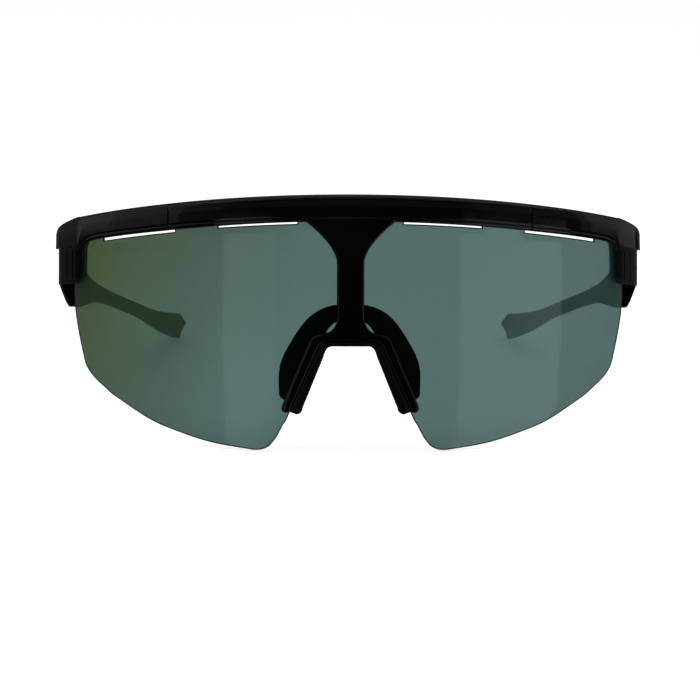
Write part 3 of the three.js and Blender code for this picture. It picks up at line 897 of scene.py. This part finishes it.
def corner_top(x, y):
    """Upper edge of the end piece, which falls towards the hinge."""
    height = brow_top(min(x, 66))
    if y <= TOP_FALL[0][0]:
        return height
    for a, b in zip(TOP_FALL, TOP_FALL[1:]):
        if y <= b[0]:
            fall = a[1] + (b[1] - a[1]) * (y - a[0]) / (b[0] - a[0])
            return min(height, fall)
    return TOP_FALL[-1][1]


def upright(name, radius, low, high, edge=0.15):
    """A cylinder on the hinge's axis, with rounded edges."""
    profile = [(radius - edge * sunk, low + edge * risen) for sunk, risen in rounding(4)]
    profile += [(radius - edge * risen, high - edge * sunk) for sunk, risen in rounding(4)]
    rings = [circle(r, lambda a, b: Vector((HINGE.x + a, HINGE.y + b, z)), 40) for r, z in profile]
    return tool(name, loft(rings))


def upright_plate(name, points, low, high, edge=0.2):
    """A plan outline (x, y) raised from low to high, with rounded edges."""
    data = plate(points, lambda u, v, z: Vector((u, v, z)), low, high,
                 edge=edge, step=0.5, grid=2.0)
    return tool(name, data)


EAR_WEB = [
    (HINGE.x - KNUCKLE_R, HINGE.y), (66.4, 41), (68.6, 41), (68.6, HINGE_PLANE),
    (HINGE.x, HINGE.y + 0.4),
]


def lens_pocket():
    """The slot in the end piece that the corner of the lens sits in."""
    gap = 0.15
    outline = [
        (VENTS[1][1] - gap, brow_bottom(59) + TAB + gap), (64.3, 28.45), (66.95, 28.3),
        (67.15, 14), (40, 14), (40, 25.9), (VENTS[1][1] - gap, 25.9),
    ]
    return lens_slot("pocket", outline, gap)


def mirror_object(obj, name):
    """The same piece on the wearer's right."""
    twin = obj.copy()
    twin.name = name
    twin.data = obj.data.copy()
    twin.data.transform(Matrix.Scale(-1, 4, Vector((1, 0, 0))))
    twin.data.flip_normals()
    finish_shading(twin)
    bpy.context.scene.collection.objects.link(twin)
    return twin


def end_piece():
    piece = new_object("end_piece_left_shell", *end_band(), "front", GLOSS)
    ears = []
    for side, low in (("upper", HINGE.z + EAR_LOW), ("lower", HINGE.z - EAR_HIGH)):
        high = low + EAR_HIGH - EAR_LOW
        ears.append(upright(f"ear_{side}", KNUCKLE_R, low, high))
        ears.append(upright_plate(f"web_{side}", EAR_WEB, low + 0.01, high - 0.01))
    relief = upright("relief", KNUCKLE_R + 0.25, HINGE.z - EAR_LOW, HINGE.z + EAR_LOW, 0.02)
    boolean(piece, [lens_pocket(), relief, *lug_cutters()])
    boolean(piece, [*ears, splice_tongue("tongue_left", 1, *TONGUE)], "UNION")
    bore = upright("bore", BORE_R, 10, 40, 0.02)
    seat = upright("seat", SEAT_R, HINGE.z + EAR_HIGH - SEAT_DEEP, 40, 0.02)
    boolean(piece, [bore, seat])
    return piece


# ---- Screws ----

HEAD_CHAMFER = 0.06
HEAD_RIM = 0.16
LOBES = 6
RECESS = (0.52, 0.09, 0.55)  # its radius, the height of a lobe and its depth, as shares


def lobed_screw(name, point, radius, height, shaft_radius, length):
    """A cheese-head screw with a lobed recess. point(across, up, along) places it.

    along runs out of the head, from 0 at its top.
    """
    profile = [(shaft_radius, -length), (shaft_radius, -height),
               (radius - HEAD_CHAMFER, -height), (radius, -height + HEAD_CHAMFER)]
    profile += [(radius - HEAD_RIM * risen, -HEAD_RIM * sunk) for sunk, risen in rounding(4)]
    rings = [circle(r, lambda a, b: point(a, b, along), 48) for r, along in profile]
    screw = new_object(name, *loft(rings), "front", STEEL)
    middle, lobe, deep = RECESS
    recess = []
    for along in (-height * deep, 0.5):
        ring = []
        for k in range(60):
            a = 2 * math.pi * k / 60
            r = radius * (middle + lobe * math.cos(LOBES * a))
            ring.append(point(r * math.cos(a), r * math.sin(a), along))
        recess.append(ring)
    return boolean(screw, [new_object("recess", *loft(recess), "front", STEEL)])


def hinge_screws():
    top = HINGE.z + EAR_HIGH - 0.05
    screw = lobed_screw(
        "hinge_screw_left_turned",
        lambda a, b, c: Vector((HINGE.x + a, HINGE.y + b, top + c)),
        radius=1.45, height=0.75, shaft_radius=0.75, length=8.0,
    )
    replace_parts(screw, "hinge_screw_left")
    twin = mirror_object(screw, "hinge_screw_right_turned")
    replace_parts(twin, "hinge_screw_right")


def splice_screws():
    for side, word in ((1, "left"), (-1, "right")):
        screw = lobed_screw(
            f"splice_screw_{word}_turned",
            lambda a, b, c: splice_point(side, a, b, BROW_T + c - 0.05),
            radius=SPLICE_HEAD_R, height=0.65, shaft_radius=0.5, length=3.0,
        )
        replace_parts(screw, f"splice_screw_{word}")


# ---- Temples ----

# y, inner face x, outer face x, lower edge z, upper edge z
TEMPLE_STATIONS = (
    (47.3, 67.4, 72.1, 10.9, 28.4),
    (52.0, 66.2, 71.2, 10.7, 21.8),
    (60.0, 64.2, 68.2, 11.7, 18.0),
    (66.0, 62.6, 66.3, 12.2, 16.6),
    (75.0, 60.3, 63.7, 11.7, 15.2),
    (98.0, 54.4, 57.7, 8.9, 12.3),
    (108.0, 52.4, 55.8, 7.6, 11.3),
    (119.0, 50.4, 54.3, 6.2, 10.7),
    (132.0, 48.4, 52.6, 4.8, 10.5),
    (150.0, 46.2, 50.4, 3.5, 10.5),
    (157.0, 45.3, 49.5, 3.3, 10.5),
)
SOCK_START = 108
TIP_Y = 157


def temple_at(y):
    """Faces and edges of the arm at depth y: inner x, outer x, lower z, upper z."""
    rows = [TEMPLE_STATIONS[0], *TEMPLE_STATIONS, TEMPLE_STATIONS[-1]]
    k = 1
    while k < len(rows) - 3 and rows[k + 1][0] < y:
        k += 1
    p0, p1, p2, p3 = rows[k - 1], rows[k], rows[k + 1], rows[k + 2]
    width = p2[0] - p1[0]
    t = (y - p1[0]) / width
    result = []
    for i in range(1, 5):
        m1 = (p2[i] - p0[i]) / max(p2[0] - p0[0], 1e-6) * width
        m2 = (p3[i] - p1[i]) / max(p3[0] - p1[0], 1e-6) * width
        h = t * t * (3 - 2 * t)
        result.append(
            p1[i] + (p2[i] - p1[i]) * h
            + m1 * (t ** 3 - 2 * t * t + t) + m2 * (t ** 3 - t * t)
        )
    return result


# The lower outer edge of the arm near the hinge is cut away: z and the furthest x allowed.
HEEL_CUT = ((10.0, 69.2), (12.2, 70.4), (15.0, 71.5), (17.5, 72.3))
HEEL_END = 58
# The inner face of the sock comes to a ridge near its tip: x and z of the ridge, rise above and
# below it.
TIP_RIDGE = (45.6, 7.8)
TIP_RISE = (2 / 2.7, 2.8 / 4.6)


def heel_limit(z):
    for (z0, x0), (z1, x1) in zip(HEEL_CUT, HEEL_CUT[1:]):
        if z < z1:
            return x0 + (x1 - x0) * (z - z0) / (z1 - z0)
    return math.inf


def tip_limit(z):
    rise = TIP_RISE[0] if z > TIP_RIDGE[1] else TIP_RISE[1]
    return TIP_RIDGE[0] + abs(z - TIP_RIDGE[1]) * rise


def arm_section(y, corner, squeeze=0.0, count=10):
    """Rounded section of the arm at depth y. squeeze pulls it in all round."""
    inner, outer, low, high = temple_at(y)
    inner += squeeze
    outer -= squeeze
    low += squeeze
    high -= squeeze
    r = min(corner, (outer - inner) * 0.46, (high - low) * 0.46)
    corners = (
        (outer - r, high - r, 0), (inner + r, high - r, 90),
        (inner + r, low + r, 180), (outer - r, low + r, 270),
    )
    flat = []
    for across, up, start in corners:
        for i in range(count + 1):
            a = math.radians(start + 90 * i / count)
            flat.append((across + r * math.cos(a), up + r * math.sin(a)))
    ring = []
    for i, (x, z) in enumerate(flat):
        ring.append((x, z))
        if i % (count + 1) == count:
            nx, nz = flat[(i + 1) % len(flat)]
            ring += [(x + (nx - x) * k / count, z + (nz - z) * k / count)
                     for k in range(1, count)]
    limited = []
    for x, z in ring:
        if y < HEEL_END:
            x = min(x, heel_limit(z) - squeeze)
        if y > SOCK_START:
            x = max(x, min(tip_limit(z) + squeeze, (inner + outer) / 2))
        limited.append(Vector((x, y, z)))
    return limited


def spaced(start, end, step):
    count = max(1, round((end - start) / step))
    return [start + (end - start) * i / count for i in range(count + 1)]


TONGUE_WEB = [
    (HINGE.x - KNUCKLE_R, HINGE.y), (HINGE.x, HINGE.y - 0.4), (68.6, HINGE_PLANE + 0.3),
    (68.6, 53.5), (66.6, 53.5),
]
TONGUE_HALF = 1.7
SLEEVE_BORE_R = 1.15
ARM_CORNER = 1.3


def temple():
    start = HINGE_PLANE + 0.3
    end = SOCK_START - 0.25
    rings = [arm_section(start, ARM_CORNER, squeeze=0.3)]
    rings.append(arm_section(start + 0.08, ARM_CORNER, squeeze=0.1))
    rings += [arm_section(y, ARM_CORNER) for y in spaced(start + 0.3, end - 0.2, 0.7)]
    rings.append(arm_section(end, ARM_CORNER, squeeze=0.2))
    arm = new_object("temple_left_arm", *loft(rings), "left_temple", GLOSS)
    reliefs = []
    for name, low, high in (
        ("over", HINGE.z + TONGUE_HALF, HINGE.z + EAR_HIGH + 0.3),
        ("under", HINGE.z - EAR_HIGH - 0.3, HINGE.z - TONGUE_HALF),
    ):
        reliefs.append(upright(name, KNUCKLE_R + 0.25, low, high, 0.02))
    boolean(arm, reliefs)
    low, high = HINGE.z - TONGUE_HALF, HINGE.z + TONGUE_HALF
    tongue = upright("tongue", KNUCKLE_R, low, high)
    web = upright_plate("tongue_web", TONGUE_WEB, low + 0.01, high - 0.01)
    boolean(arm, [tongue, web], "UNION")
    boolean(arm, [upright("tongue_bore", SLEEVE_BORE_R, low - 0.1, high + 0.1, 0.02)])
    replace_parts(arm, "temple_left")
    twin = mirror_object(arm, "temple_right_arm")
    twin["ride_on"] = "right_temple"
    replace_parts(twin, "temple_right")


GRIP_START, GRIP_END = 118, 146
GRIP_PITCH = 2.0
GRIP_DEPTH = 0.14
SOCK_CORNER = 1.35
TIP_BEVEL = 3.4  # length of the rounding at the tip
TIP_DRAW = 1.9  # how far the section has drawn in at its end


def grip(y):
    """Depth of the shallow grip grooves round the sock."""
    if not GRIP_START < y < GRIP_END:
        return 0.0
    fade = min(1, (y - GRIP_START) / 3, (GRIP_END - y) / 3)
    wave = 0.5 + 0.5 * math.cos(2 * math.pi * (y - GRIP_START) / GRIP_PITCH)
    return GRIP_DEPTH * fade * wave ** 6


def ear_sock():
    rings = [arm_section(SOCK_START, 1.1, squeeze=0.35)]
    rings.append(arm_section(SOCK_START + 0.08, 1.2, squeeze=0.12))
    rings.append(arm_section(SOCK_START + 0.25, 1.3))
    bevel = TIP_Y - TIP_BEVEL
    for y in spaced(SOCK_START + 0.6, bevel, 0.22):
        rings.append(arm_section(y, SOCK_CORNER, squeeze=grip(y)))
    for i in range(1, 13):
        turn = math.pi / 2 * (i / 12)
        y = bevel + TIP_BEVEL * math.sin(turn)
        rings.append(arm_section(y, SOCK_CORNER, squeeze=TIP_DRAW * (1 - math.cos(turn))))
    sock = new_object("ear_sock_left_rubber", *loft(rings), "left_temple", RUBBER, 50)
    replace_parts(sock, "ear_sock_left")
    twin = mirror_object(sock, "ear_sock_right_rubber")
    finish_shading(twin, 50)
    twin["ride_on"] = "right_temple"
    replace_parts(twin, "ear_sock_right")


# ---- Nose ----

def opening_edge(back=0.0):
    """Half of the nose opening. back sets it into the saddle, so that layers don't coincide."""
    return (
        [(0, 0.8 + back)]
        + bend((4.3, 0.8 + back), (5.7 + back, 0.8 + back), (6.2 + back, -1.5), 8)
        + [(11.1 + back, -13.6)]
        + bend((11.15 + back, -14), (11.6 + back, -15.1 + back), (12.7, -15 + back), 6)
    )


def nose_saddle():
    """A lip in front of the lens, a throat through its notch and a lip behind it."""
    gap = 0.08
    throat_edge = [(13.3, -14.3), (8.1, -0.7)] + bend((7.6, 0.8), (6.8, 2.55), (4, 2.55), 8)
    back_edge = [(15.4, -14.2), (9.9, -0.2)] + bend((9.4, 1.4), (8.2, 4.1), (4, 4.2), 8)
    layers = (
        ("nose_saddle_clip", opening_edge() + wishbone_inner(gap)[3:],
         FACE_INSET - 0.2, 0.1, 0.35),
        ("throat", opening_edge(0.03) + throat_edge + [(0, 2.52)], 0.4, -LENS_T - 0.5, 0.1),
        ("rear_lip", opening_edge() + back_edge + [(0, 4.2)], -LENS_T - 0.12, -4.4, 0.35),
    )
    solids = []
    for name, half, front, back, edge in layers:
        data = plate(both_halves(half), on_barrel, front, back, edge=edge, step=0.5, grid=1.5)
        solids.append(new_object(name, *data, "front", SATIN))
    saddle = boolean(solids[0], solids[1:], "UNION")
    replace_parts(saddle, "nose_saddle")


# Middle line of the horseshoe, its half width and how far it reaches back, from the arch down.
PAD_STATIONS = (
    (0.0, 8.85, 1.85, 0.45),
    (3.0, 8.7, 1.95, 0.46),
    (5.7, 7.6, 2.3, 0.52),
    (7.8, 5.6, 2.75, 0.62),
    (9.3, 2.7, 3.1, 0.78),
    (10.5, -1.0, 3.25, 0.9),
    (11.7, -5.6, 2.95, 0.97),
    (12.45, -10.4, 1.8, 1.0),
)
PAD_NEAR = 6.4
PAD_DEPTH = 10.4
PAD_TIP = 1.7  # length of the rounding at the foot of each leg
PAD_SPLAY = 0.34  # the legs lean out this much towards the face,
SPLAY_TOP = 8  # from this height on
SPLAY_FADE = 12  # and fully this far below it


def pad_ring(x, z, half, reach, across, scale=1.0, count=44):
    """Rounded section of the pad: across is its direction in the front view."""
    side = 0 if abs(x) < 1e-6 else math.copysign(1, x)
    wing = ease(SPLAY_TOP - z, 0, SPLAY_FADE)
    ring = []
    near = PAD_NEAR + x * x / 2 / FACE_R + (z - CROWN_Z) ** 2 / BARREL
    for i in range(count):
        a = 2 * math.pi * i / count
        cosine, sine = math.cos(a), math.sin(a)
        u = math.copysign(abs(cosine) ** 0.62, cosine) * half * scale
        v = 0.5 + 0.5 * math.copysign(abs(sine) ** 0.5, sine) * scale
        depth = v * PAD_DEPTH * reach
        thin = 1 - 0.28 * max(0, v - 0.55) / 0.45
        px = x + across[0] * u * thin
        pz = z + across[1] * u * thin
        splay = side * min(1, abs(px) / 3) * PAD_SPLAY * depth * wing
        ring.append(Vector((px + splay, near + depth, pz)))
    return ring


def pad_end(tip, before, sign):
    """Rings that round the pad off beyond its last station."""
    x, z, width, reach = tip
    along = Vector((x - before[0], z - before[1])).normalized()
    across = (-along.y * sign, along.x * sign)
    rings = []
    for k in range(1, 9):
        turn = math.pi / 2 * k / 8
        out = PAD_TIP * math.sin(turn)
        scale = max(0.03, math.cos(turn))
        rings.append(pad_ring(x + along.x * out, z + along.y * out, width, reach, across, scale))
    return rings


def nose_pad():
    half = smooth(PAD_STATIONS, 44)
    line = [(-x, z, w, r) for x, z, w, r in reversed(half[1:])] + half
    last = len(line) - 1
    rings = pad_end(line[0], line[1], -1)[::-1]
    for i, (x, z, width, reach) in enumerate(line):
        a = line[max(i - 1, 0)]
        b = line[min(i + 1, last)]
        along = Vector((b[0] - a[0], b[1] - a[1])).normalized()
        rings.append(pad_ring(x, z, width, reach, (-along.y, along.x)))
    rings += pad_end(line[last], line[last - 1], 1)
    pad = new_object("nose_pad_soft", *loft(rings), "front", RUBBER, 60)
    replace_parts(pad, "nose_pad")


# ---- Put it together ----

CAD_FINISHES = {
    "hinge_sleeve": STEEL,
    "hinge_washer": NYLON,
    "temple_core_wire": STEEL,
}


def build():
    brow_bar()
    shield_lens()
    piece = end_piece()
    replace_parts(piece, "end_piece_left")
    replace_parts(mirror_object(piece, "end_piece_right_shell"), "end_piece_right")
    hinge_screws()
    splice_screws()
    temple()
    ear_sock()
    nose_saddle()
    nose_pad()
    for name, obj in frame["nodes"].items():
        for prefix, finish in CAD_FINISHES.items():
            if name.startswith(prefix):
                obj.data.materials.clear()
                obj.data.materials.append(finish)
    for obj in list(bpy.context.scene.objects):
        if "ride_on" in obj:
            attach(obj, obj["ride_on"])


# ---- Studio ----

# Panels of the room: from and to in degrees, brightness at either end, and the softness of the
# edges where it isn't the usual one. The first set shows in the lens, the second in the brow.
LENS_PANELS = (
    (-44, -25.6, 0.6, 0.25),
    (39, 79.5, 0.42, 0.58),
    (-150, -108, 0.02, 0.05, 3),
    (108, 150, 0.08, 0.03, 3),
    (150, 200, 0.03, 0.2, 6),
    (-200, -150, 0.2, 0.03, 6),
)
FRAME_PANELS = (
    (-150, -109, 0.03, 0.09, 3),
    (-109, -88, 0.34, 0.36, 2),
    (-88, -60, 0.24, 0.22),
    (-60, -44, 0.08, 0.05),
    (46, 87, 0.035, 0.035, 1),
    (87, 92, 0.12, 0.12, 1),
    (92, 135, 0.28, 0.2, 1),
    (150, 200, 0.05, 0.3, 6),
    (-200, -150, 0.3, 0.05, 6),
)
# The first set reaches up to SPLIT and the second starts there. This and the levels below are
# the upward part of a direction of length 1 in the wearing frame.
SPLIT = 0.045
SPLIT_SOFT = 0.003
BAND_START = (0.08, 0.12)  # a dim band above the panels, for the rounded top edge
BAND_END = (0.25, 0.35)
BAND = 0.05
CEILING_START = (0.5, 0.95)
CEILING = 0.14
ROOM = 0.012
AMBIENT = 0.45
SKY = 1.25  # as white as the floor, so that no horizon shows


def studio_world():
    """White behind everything seen, and a dim room with a few panels in what shines."""
    world = bpy.data.worlds.new("studio")
    world.use_nodes = True
    w = Nodes(world.node_tree, "ShaderNodeOutputWorld")
    parts = w.add("ShaderNodeSeparateXYZ")
    w.link(w.add("ShaderNodeTexCoord").outputs["Generated"], parts.inputs["Vector"])
    x, y, z = (parts.outputs[axis] for axis in "XYZ")
    round_about = w.maths("ARCTAN2", x, w.maths("MULTIPLY", y, -1.0))
    rise = w.maths("ADD", w.maths("MULTIPLY", y, math.sin(TILT)),
                   w.maths("MULTIPLY", z, math.cos(TILT)))

    def soft(value, low, high, to_low=0.0, to_high=1.0):
        return w.span(value, low, high, to_low, to_high, "SMOOTHSTEP")

    def panel(start, end, at_start, at_end, edge=0.6):
        """A bright upright panel between two angles in degrees, 0 in front, + towards +X."""
        start, end, edge = math.radians(start), math.radians(end), math.radians(edge)
        opening = soft(round_about, start - edge, start + edge)
        closing = soft(round_about, end - edge, end + edge, 1.0, 0.0)
        level = soft(round_about, start, end, at_start, at_end)
        return w.maths("MULTIPLY", w.maths("MULTIPLY", opening, closing), level)

    def total(panels):
        level = panel(*panels[0])
        for numbers in panels[1:]:
            level = w.maths("ADD", level, panel(*numbers))
        return level

    def background(strength):
        node = w.add("ShaderNodeBackground")
        w.feed(node.inputs["Strength"], strength)
        return node.outputs["Background"]

    is_low = soft(rise, SPLIT - SPLIT_SOFT, SPLIT + SPLIT_SOFT, 1.0, 0.0)
    is_high = soft(rise, SPLIT - SPLIT_SOFT, SPLIT + SPLIT_SOFT)
    band = w.maths("MULTIPLY", soft(rise, *BAND_START, 0.0, BAND), soft(rise, *BAND_END, 1.0, 0.0))
    shine = w.maths("ADD", w.maths("ADD", band, ROOM),
                    w.maths("MULTIPLY", total(LENS_PANELS), is_low))
    shine = w.maths("ADD", shine, w.maths("MULTIPLY", total(FRAME_PANELS), is_high))
    shine = w.maths("ADD", shine, soft(rise, *CEILING_START, 0.0, CEILING))
    lit = w.mix(w.light_path("Is Glossy Ray"), background(AMBIENT), background(shine))
    seen = w.mix(w.light_path("Is Camera Ray"), lit, background(SKY))
    w.link(seen, w.output.inputs["Surface"])
    bpy.context.scene.world = world


LIGHT_PLACE = Vector((0, -0.05, 0.7))  # metres
LIGHT_AIM = Vector((0, 0, 0.03))


def overhead():
    """A soft light from above, which isn't itself seen in what shines."""
    light = bpy.data.lights.new("overhead", "AREA")
    light.shape = "RECTANGLE"
    light.size, light.size_y = 0.9, 0.5
    light.energy = 4.0
    obj = add_object("overhead", light)
    obj.location = LIGHT_PLACE
    obj.rotation_euler = (LIGHT_AIM - LIGHT_PLACE).to_track_quat("-Z", "Y").to_euler()
    obj.visible_glossy = False


FLOOR_GLOW = 0.8
FLOOR_HALF = 6.0  # metres


def floor():
    """A pale floor, left out of what shines so that its edge doesn't cut across the lens."""
    m = Shader("pale_floor")
    body = m.principled(Roughness=0.9, Specular_IOR_Level=0.1)
    pale = m.ramp(m.noise(6, 2.0), [(0.0, (0.50, 0.50, 0.50)), (1.0, (0.54, 0.54, 0.54))])
    m.link(pale, body.inputs["Base Color"])
    body.inputs["Emission Color"].default_value = (1, 1, 1, 1)
    body.inputs["Emission Strength"].default_value = FLOOR_GLOW
    away = m.add("ShaderNodeBsdfTransparent").outputs["BSDF"]
    surface = m.mix(m.light_path("Is Glossy Ray"), body.outputs["BSDF"], away)
    corners = box(-FLOOR_HALF, -FLOOR_HALF, FLOOR_HALF, FLOOR_HALF)
    mesh = bpy.data.meshes.new("floor")
    mesh.from_pydata([(x, y, 0) for x, y in corners], [], [(0, 1, 2, 3)])
    obj = add_object("floor", mesh)
    obj.data.materials.append(m.finish(surface))


CAMERA_DISTANCE = 600
CAMERA_YAW = math.radians(0.75)
CAMERA_ROLL = math.radians(0.22)
AIM = Vector((-0.14, 0, 0))
CAMERA_LENS = 133.6


def camera():
    """Looks level in the wearing frame, nearly straight ahead."""
    data = bpy.data.cameras.new("camera")
    data.lens = CAMERA_LENS
    data.sensor_width = 36
    data.clip_start = 0.01
    obj = add_object("camera", data)
    eye = Vector((-math.sin(CAMERA_YAW), -math.cos(CAMERA_YAW), 0)) * CAMERA_DISTANCE
    place = TO_ROW @ eye
    target = TO_ROW @ AIM
    turn = (target - place).to_track_quat("-Z", "Y").to_matrix()
    obj.location = place
    obj.rotation_euler = (turn @ Matrix.Rotation(CAMERA_ROLL, 3, "Z")).to_euler()
    bpy.context.scene.camera = obj


camera()
studio_world()
overhead()
floor()
build()
bpy.context.scene.view_settings.view_transform = "Standard"
